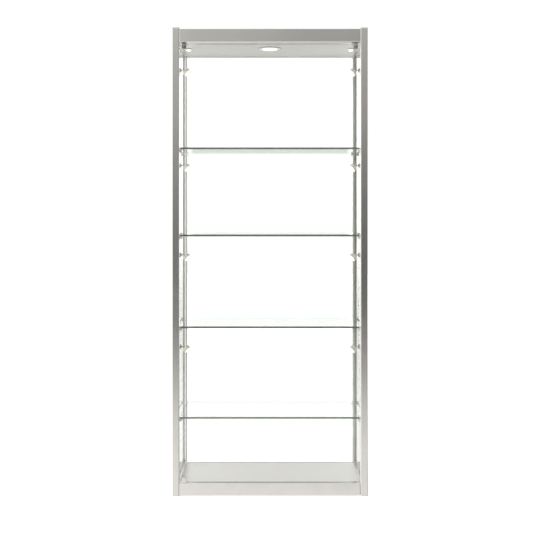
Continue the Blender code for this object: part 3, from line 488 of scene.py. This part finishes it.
def round_edges(bm, chosen, radius, segments=3):
    edges = [e for e in bm.edges if chosen(e.verts[0].co / MM, e.verts[1].co / MM)]
    if edges:
        bmesh.ops.bevel(
            bm, geom=edges, offset=radius * MM, segments=segments, affect="EDGES", profile=0.5, clamp_overlap=True
        )


def near(a, b, eps=0.02):
    return abs(a - b) < eps


# =============================================================== the frame's own nodes
for name in NODES:
    if name.startswith("upright_"):
        paint(name, ALU["Z"])
    elif name == "header_rear_rail":
        paint(name, REAR_RAIL_PAINTED_LIT)
    elif name in ("header_fascia", "plinth_front_rail", "plinth_rear_rail"):
        paint(name, ALU["X"])
    elif name.startswith(("header_side", "plinth_side")):
        paint(name, ALU["Y"])
    elif name.startswith("cap_"):
        paint(name, CAP)
    elif name == "top_cover":
        paint(name, SHEET)
    elif name == "deck_panel":
        paint(name, DECK)
    elif name == "ceiling_panel":
        paint(name, CEILING)
    elif name.startswith("side_pane"):
        paint(name, GLASS["X"])
    elif name in ("rear_pane", "door_pane"):
        paint(name, GLASS["Y"])
    elif name.startswith("shelf_strip"):
        paint(name, {"shelf_strip_rear_left": STEEL_PAINTED_LIT, "shelf_strip_rear_right": STEEL_PAINTED_SHADE}.get(name, STEEL))
    elif name.startswith("shelf_"):
        paint(name, GLASS["Z"])
    elif name.startswith("pivot_bush"):
        paint(name, BUSH)
    elif name == "lighting_driver":
        paint(name, DRIVER)
    elif name.startswith("spot_lead"):
        paint(name, LEAD)
    elif name == "magnet_catch":
        paint(name, NICKEL)

# the two front rails again, with their end edges eased where they meet the uprights
for name in ("header_fascia", "plinth_front_rail"):
    source = NODES[name].data
    bm = bmesh.new()
    bm.from_mesh(source)
    bmesh.ops.remove_doubles(bm, verts=bm.verts, dist=1e-7)
    bmesh.ops.dissolve_limit(bm, angle_limit=math.radians(0.5), verts=bm.verts, edges=bm.edges)
    end = max(v.co.x for v in bm.verts)
    face_y = min(v.co.y for v in bm.verts)
    chosen = [
        e for e in bm.edges
        if all(abs(abs(v.co.x) - end) < 1e-5 for v in e.verts)
        and all(v.co.y < face_y + 0.0035 for v in e.verts)
        and abs(e.verts[0].co.z - e.verts[1].co.z) > 0.0005
        and any(abs(f.normal.y) > 0.5 and abs(f.normal.x) < 0.1 for f in e.link_faces)
    ]
    bmesh.ops.bevel(bm, geom=chosen, offset=0.00195, segments=4, affect="EDGES", profile=0.5, clamp_overlap=False)
    bmesh.ops.triangulate(bm, faces=[f for f in bm.faces if len(f.verts) > 4])
    new_piece(
        name + "_eased", bm, [FASCIA_PAINTED_SHADE if name == "header_fascia" else PLINTH_PAINTED_LIT], "frame", 30.0, replaces=[name]
    )

# =============================================================== spotlights
DARK, CREAM, GLOW, BRIGHT = 0, 1, 2, 3


def spot_stem(bm):
    """Bonded disc, swivel collar, neck and eye, along +X from the pane."""
    lathe(
        bm,
        [
            (0, 0.4), (9.7, 0.4), (9.95, 0.7), (9.95, 2.1), (9.6, 2.75), (8.8, 3.1), (5.4, 3.2), (0, 3.2),
        ],
        40,
    )
    lathe(
        bm,
        [
            (0, 2.4), (5.3, 2.4), (5.3, 3.6), (5.25, 4.6), (4.9, 5.0), (3.3, 5.2), (2.9, 6.2), (2.35, 8.4),
            (1.95, 9.7), (1.85, 11.2), (0, 11.2),
        ],
        32, "X", 1,
    )
    lathe(bm, [(2.1, -1.95), (3.9, -1.95), (4.15, -1.7), (4.15, 1.7), (3.9, 1.95), (2.1, 1.95)], 32, "Y", 1, (15, 0, 0))


def spot_head(bm):
    """Short can along +X: fork ears and a slotted pin at the back, cooling ribs, a rolled rim and a domed lens."""
    lathe(
        bm,
        [
            (0, 4.9), (7.6, 4.9), (9.4, 5.3), (12.0, 6.6), (14.3, 8.0), (15.6, 9.2), (16.4, 10.4),
            (16.75, 11.6), (16.8, 12.6), (16.4, 12.9), (16.4, 13.4), (16.8, 13.7), (16.8, 14.8),
            (16.4, 15.1), (16.4, 15.6), (16.8, 15.9), (16.85, 19.4), (17.1, 19.8), (17.4, 20.4),
            (17.45, 22.6), (17.15, 23.3), (16.7, 23.45), (16.2, 23.2), (15.8, 22.5), (15.7, 21.6), (0, 21.6),
        ],
        48, "X", 1,
    )
    # lens, standing in the rim
    lathe(
        bm,
        [(0, 21.7), (15.5, 21.7), (15.5, 22.1), (14.6, 22.6), (11.4, 23.1), (6.4, 23.35), (0, 23.45)],
        40, "X", 2,
    )
    for side in (-1, 1):
        y0, y1 = sorted((side * 2.35, side * 3.95))
        lathe(bm, [(0, y0), (3.9, y0), (4.15, y0 + 0.25), (4.15, y1 - 0.25), (3.9, y1), (0, y1)], 32, "Y", 1)
        block(bm, (0.2, y0 + 0.02, -3.2), (6.6, y1 - 0.02, 3.2), 1, 0.3, 2)
    lathe(bm, [(0, -4.25), (2.1, -4.25), (2.35, -4.0), (2.35, -3.9), (1.75, -3.85), (1.75, 3.85), (2.35, 3.9), (2.35, 4.0), (2.1, 4.25), (0, 4.25)], 24, "Y", 0)


for side, word in ((-1, "left"), (1, "right")):
    turn_in = Matrix.Identity(4) if side < 0 else Matrix.Rotation(math.pi, 4, "Z")
    for number in range(1, 5):
        lo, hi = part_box(f"spot_{word}_{number}_stem")
        pane_x = (lo.x if side < 0 else hi.x) - 0.0003 * (1 if side < 0 else -1)
        height = (lo.z + hi.z) / 2
        line_y = (lo.y + hi.y) / 2
        swung = Matrix.Rotation(math.radians(25 * side), 4, "X")
        base = Matrix.Translation((pane_x, line_y, height)) @ turn_in @ swung
        bm = bmesh.new()
        spot_stem(bm)
        new_piece(
            f"spot_{word}_{number}_mount", bm, [NICKEL, TRIM], f"spot_{word}_{number}_arm",
            matrix=base, replaces=[f"spot_{word}_{number}_stem"],
        )
        bm = bmesh.new()
        spot_head(bm)
        new_piece(
            f"spot_{word}_{number}_lamp", bm, [NICKEL, ENAMEL, SPOT_LENS], f"spot_{word}_{number}_lamp",
            matrix=base @ Matrix.Translation((0.015, 0, 0)) @ Matrix.Rotation(math.radians(43), 4, "Y"),
            replaces=[f"spot_{word}_{number}_head"],
        )

# =============================================================== ceiling lights
lo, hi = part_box("downlight_housing")
centre = ((lo.x + hi.x) / 2 / MM, (lo.y + hi.y) / 2 / MM, 0.0)
low = lo.z / MM + 3.5
ri, ro = 31.0, 50.0
bm = bmesh.new()
lathe(
    bm,
    [
        (0, low + 31.8), (ri - 0.5, low + 31.8), (ri + 2.8, low + 7), (ri + 2.8, low - 0.02), (ro - 0.1, low - 0.02),
        (ro, low - 0.3), (ro - 0.5, low - 0.9), (ro - 3, low - 1.9), (ri + 13, low - 3.0), (ri + 8, low - 3.45),
        (ri + 5.4, low - 3.45), (ri + 4.9, low - 3.1), (ri + 4.3, low - 3.1), (ri + 3.8, low - 3.45),
        (ri + 1.6, low - 3.45), (ri + 0.5, low - 3.1), (ri, low - 2.4), (ri, low + 1.9), (ri - 0.4, low + 2.6), (ri - 0.4, low + 6),
        (ri - 3, low + 29.8), (0, low + 29.8),
    ],
    96, "Z", 0, centre,
)
for face in bm.faces:  # the outer lip and the can are plated, the visible ring is lacquered; the lip's darker plate also stands as painted shade of the gap round the ring
    middle = face.calc_center_median() / MM
    if math.hypot(middle.x - centre[0], middle.y - centre[1]) > ro - 2.4 or middle.z > low:
        face.material_index = 1
new_piece("downlight_ring", bm, [RING, STRIKE], "frame", replaces=["downlight_housing"])
bm = bmesh.new()
rings = [(0, low + 1.4), (ri - 0.7, low + 1.4), (ri - 0.7, low - 0.9)]
for k in range(6):  # shallow fresnel steps towards the middle
    outer = (ri - 1.2) * (1 - k / 6.5)
    inner = (ri - 1.2) * (1 - (k + 0.82) / 6.5)
    depth = 1.2 + 2.5 * (1 - (outer / ri) ** 2)
    rings += [(outer, low - depth), (inner, low - depth - 0.45)]
rings += [(0, low - 3.9)]
lathe(bm, rings, 72, "Z", 0, centre)
new_piece("downlight_diffuser", bm, [DOWN_LENS], "frame", replaces=["downlight_lens"])
for side, word in ((-1, "left"), (1, "right")):
    lo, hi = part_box(f"corner_light_{word}")
    centre = ((lo.x + hi.x) / 2 / MM, (lo.y + hi.y) / 2 / MM, 0.0)
    top = hi.z / MM
    bm = bmesh.new()
    lathe(
        bm,
        [
            (0, top), (11.45, top), (11.45, top - 0.8), (11.1, top - 1.1), (11.1, top - 3.3), (10.8, top - 4.2),
            (10.2, top - 4.75), (9.7, top - 4.78), (9.45, top - 4.4), (9.4, top - 3.8), (0, top - 3.8),
        ],
        56, "Z", 0, centre,
    )
    lathe(
        bm,
        [
            (0, top - 3.6), (9.3, top - 3.6), (9.3, top - 5.2), (9.0, top - 7.0), (8.1, top - 8.6), (6.6, top - 9.7),
            (4.4, top - 10.3), (0, top - 10.55),
        ],
        48, "Z", 1, centre,
    )
    new_piece(f"corner_puck_{word}", bm, [ENAMEL, CORNER_LENS], "frame", replaces=[f"corner_light_{word}"])

# =============================================================== door clamps, strike, fixed plates
PIVOT_X, DOOR_Y = -351.0, -176.5
DOOR_LOW, DOOR_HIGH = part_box("door_pane")
BOTTOM_EDGE, TOP_EDGE = DOOR_LOW.z / MM, DOOR_HIGH.z / MM


def door_clamp(bm, x, edge, inward, mat=0, screw=0):
    """Two rounded cheeks over a bridge, with two countersunk screws through the front cheek."""
    z0, z1 = sorted((edge - inward * 2.3, edge + inward * 18.0))
    block(bm, (x - 8.5, DOOR_Y - 4.6, z0), (x + 8.5, DOOR_Y - 2.82, z1), mat, 0.75, 3)
    block(bm, (x - 8.5, DOOR_Y + 2.82, z0), (x + 8.5, DOOR_Y + 5.2, z1), mat, 0.75, 3)
    b0, b1 = sorted((edge - inward * 0.42, edge - inward * 2.28))
    block(bm, (x - 8.4, DOOR_Y - 3.9, b0), (x + 8.4, DOOR_Y + 3.9, b1), mat, 0.2, 2)
    for k in (5.0, 12.5):
        z = edge + inward * k
        lathe(
            bm,
            [(0, -4.2), (1.9, -4.2), (1.9, -4.62), (1.6, -4.78), (0.75, -4.8), (0.7, -4.55), (0, -4.5)],
            24, "Y", screw, (x, DOOR_Y, z),
        )


def pivot_pin(bm, z0, z1, mat=0):
    lathe(bm, [(0, z0), (2.45, z0), (2.45, z1 - 0.4), (2.05, z1), (0, z1)], 24, "Z", mat, (PIVOT_X, DOOR_Y, 0))


bm = bmesh.new()
door_clamp(bm, PIVOT_X, TOP_EDGE, -1, 0, 1)
pivot_pin(bm, TOP_EDGE + 1.0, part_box("door_clamp_top")[1].z / MM)
new_piece("pivot_clamp_top", bm, [NICKEL, STRIKE], "door", replaces=["door_clamp_top"])
bm = bmesh.new()
door_clamp(bm, PIVOT_X, BOTTOM_EDGE, 1, 0, 1)
pivot_pin(bm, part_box("door_clamp_bottom")[0].z / MM, BOTTOM_EDGE - 1.0)
# shaped like the top clamp; its pale lacquer is painted light from the floor
new_piece("pivot_clamp_bottom", bm, [CLAMP_PAINTED_LIT, CLAMP_PAINTED_LIT], "door", replaces=["door_clamp_bottom"])
bm = bmesh.new()
door_clamp(bm, -PIVOT_X, TOP_EDGE, -1, 0, 1)
new_piece("strike_clamp", bm, [STRIKE, NICKEL], "door", replaces=["door_strike"])


def lip_plate(name, x0, x1, mat):
    """Fixed plate folded over the fascia's lower lip, above the clamp."""
    bm = bmesh.new()
    prism(
        bm, "X",
        [
            (-183.1, 1854.35), (-184.45, 1854.5), (-184.9, 1854.1), (-184.95, 1853.6), (-184.95, 1850.5),
            (-184.6, 1850.1), (-181.6, 1850.1), (-181.5, 1850.25),
        ],
        x0, x1,
    )
    round_edges(
        bm,
        lambda a, b: near(a.x, b.x) and (near(a.x, x0) or near(a.x, x1)) and a.y < -184.9 and b.y < -184.9,
        0.4, 2,
    )
    for x in (x0 + 4.0, x1 - 4.0):
        lathe(bm, [(0, 1.0), (1.5, 1.0), (1.5, 0.02), (1.2, -0.12), (0.6, -0.12), (0.55, 0.1), (0, 0.12)], 20, "Y", 1, (x, -184.95, 1852.2))
    new_piece(name, bm, [mat, STRIKE], "frame")


lip_plate("pivot_lip_plate", -361.0, -342.0, NICKEL)
lip_plate("catch_lip_plate", 334.5, 366.0, nickel("plate_nickel", (0.30, 0.295, 0.285), 0.3))

# =============================================================== floor, studio and camera
def studio_floor():
    mat, t = new_material("studio_floor")
    path = t.tree.nodes.new("ShaderNodeLightPath")
    mottle = t.noise(3.0, 2.0, 0.5)
    tone = t.remap(mottle, 0.3, 0.7, 0.88, 0.92)
    base = t.add("BsdfDiffuse", t.add("CombineColor", tone, tone, tone))
    behind = t.maths("SUBTRACT", t.maths("POWER", 1.05, t.maths("MINIMUM", path.outputs["Transparent Depth"], 4.0)), 1.0)
    lift = t.add("Emission", (1, 1, 1), t.maths("MULTIPLY", path.outputs["Is Camera Ray"], t.maths("ADD", 0.46, behind)))
    t.output(t.add("AddShader", base, lift))
    bm = bmesh.new()
    rings = []
    for r in (0.0, 0.6, 1.5, 4.0, 12.0):
        rings.append([bm.verts.new((r * math.cos(a * math.pi / 32), r * math.sin(a * math.pi / 32), 0.0)) for a in range(64)] if r else [bm.verts.new((0, 0, 0))])
    for a, b in zip(rings, rings[1:]):
        for i in range(64):
            j = (i + 1) % 64
            bm.faces.new(list(dict.fromkeys([a[i % len(a)], b[i], b[j], a[j % len(a)]])))
    bmesh.ops.recalc_face_normals(bm, faces=bm.faces)
    mesh = bpy.data.meshes.new("studio_floor")
    bm.to_mesh(mesh)
    bm.free()
    mesh.materials.append(mat)
    obj = bpy.data.objects.new("studio_floor", mesh)
    obj.location.z = -0.0004
    bpy.context.scene.collection.objects.link(obj)
    obj.visible_glossy = False


def studio_light():
    """White to the camera. To everything else: a bright floor and rear sweep, a dim band at eye height in front, a softbox to the left."""
    world = bpy.data.worlds.new("studio")
    bpy.context.scene.world = world
    world.use_nodes = True
    t = Tree(world.node_tree)
    where = t.tree.nodes.new("ShaderNodeTexCoord")
    parts = t.add("SeparateXYZ", where.outputs["Generated"])
    x, y, z = parts.outputs

    def curve(value, points):
        """A piecewise-linear function of value."""
        ramp = t.tree.nodes.new("ShaderNodeValToRGB")
        low, high = points[0][0], points[-1][0]
        top = max(v for _, v in points)
        elements = ramp.color_ramp.elements
        while len(elements) < len(points):
            elements.new(0.5)
        for element, (p, v) in zip(elements, points):
            element.position = (p - low) / (high - low)
            element.color = (v / top, v / top, v / top, 1)
        t.put(ramp.inputs[0], t.remap(value, low, high, 0.0, 1.0))
        return t.maths("MULTIPLY", ramp.outputs[0], top)

    def both_ways(a, b, share):
        """a, turning into b as share goes from 0 to 1."""
        return t.maths("ADD", t.maths("MULTIPLY", a, t.maths("SUBTRACT", 1.0, share)), t.maths("MULTIPLY", b, share))

    lean = t.maths(
        "MULTIPLY", curve(x, ((-1.0, 0.065), (-0.12, 0.065), (0.12, 0.0), (1.0, 0.0))),
        curve(z, ((-1.0, 0.25), (-0.27, 0.3), (-0.2, 1.0), (0.12, 1.0), (0.19, 2.0), (1.0, 1.6))),
    )
    front = t.maths("ADD", curve(z, FRONT_LEVELS), lean)
    side = curve(x, SIDE_LEVELS)
    around = both_ways(front, side, curve(x, ((-1.0, 1.0), (-0.6, 1.0), (-0.25, 0.0), (0.25, 0.0), (0.6, 1.0), (1.0, 1.0))))
    rear_share = curve(y, ((-1.0, 0.0), (0.25, 0.0), (0.7, 1.0), (1.0, 1.0)))
    rear = t.maths("MULTIPLY", curve(z, REAR_LEVELS), curve(x, GRAZING_LIFT))
    mixed = both_ways(around, rear, rear_share)
    tone = t.mix_colour(1.0, (1.0, 0.99, 0.965), t.add("CombineColor", mixed, mixed, mixed), "MULTIPLY")
    lit = t.add("Background", tone, 1.0)
    # the white ground seen through the case makes up for what each sheet of glass takes away
    path = t.tree.nodes.new("ShaderNodeLightPath")
    seen = t.add("Background", (1, 1, 1), t.maths("MULTIPLY", 1.04, t.maths("POWER", 1.05, t.maths("MINIMUM", path.outputs["Transparent Depth"], 4.0))))
    both = t.add("MixShader", path.outputs["Is Camera Ray"], lit, seen)
    out = t.tree.nodes.new("ShaderNodeOutputWorld")
    t.put(out.inputs[0], both)


FRONT_LEVELS = (
    (-1.0, 1.0), (-0.50, 0.72), (-0.32, 0.97), (-0.25, 1.10), (-0.21, 0.64), (-0.17, 0.15), (-0.12, 0.03),
    (-0.06, 0.03), (0.0, 0.12), (0.03, 0.17), (0.105, 0.34), (0.19, 0.38), (0.32, 0.72), (0.5, 1.45), (1.0, 1.55),
)
SIDE_LEVELS = ((-1.0, 1.9), (-0.7, 1.9), (-0.45, 1.15), (0.0, 1.05), (0.25, 0.35), (0.9, 0.35), (1.0, 0.75))
REAR_LEVELS = (
    (-1.0, 0.62), (-0.3, 0.62), (-0.12, 0.62), (-0.06, 0.86), (0.02, 1.12), (0.14, 1.12), (0.22, 0.75), (0.32, 0.40),
    (0.5, 0.35), (1.0, 0.35),
)
GRAZING_LIFT = (
    (-1.0, 1.0), (-0.22, 1.0), (-0.16, 2.4), (-0.094, 2.4), (-0.09, 1.0), (0.09, 1.0), (0.094, 2.4), (0.16, 2.4),
    (0.22, 1.0), (1.0, 1.0),
)


def photo_camera():
    """Level camera in front of the case. The lens shift belongs to this place only, so other views stay centred."""
    data = bpy.data.cameras.new("camera")
    data.lens, data.sensor_width = 59.35, 36.0
    data.clip_start, data.clip_end = 0.1, 60.0
    cam = bpy.data.objects.new("camera", data)
    cam.location = (0.0, -3.817, 1.183)
    cam.rotation_euler = (math.radians(90), 0, 0)
    bpy.context.scene.collection.objects.link(cam)
    bpy.context.scene.camera = cam
    data.shift_x = 0.0003
    data.shift_y = -0.1176
    driver = data.driver_add("shift_y").driver
    driver.type = "SCRIPTED"
    var = driver.variables.new()
    var.name = "y"
    var.type = "TRANSFORMS"
    var.targets[0].id = cam
    var.targets[0].transform_type = "LOC_Y"
    var.targets[0].transform_space = "WORLD_SPACE"
    driver.expression = "-0.1176 if abs(y + 3.817) < 0.001 else 0.0"


studio_floor()
studio_light()
photo_camera()
scene = bpy.context.scene
scene.view_settings.view_transform = "Standard"
scene.view_settings.look = "None"

bpy.context.view_layer.update()
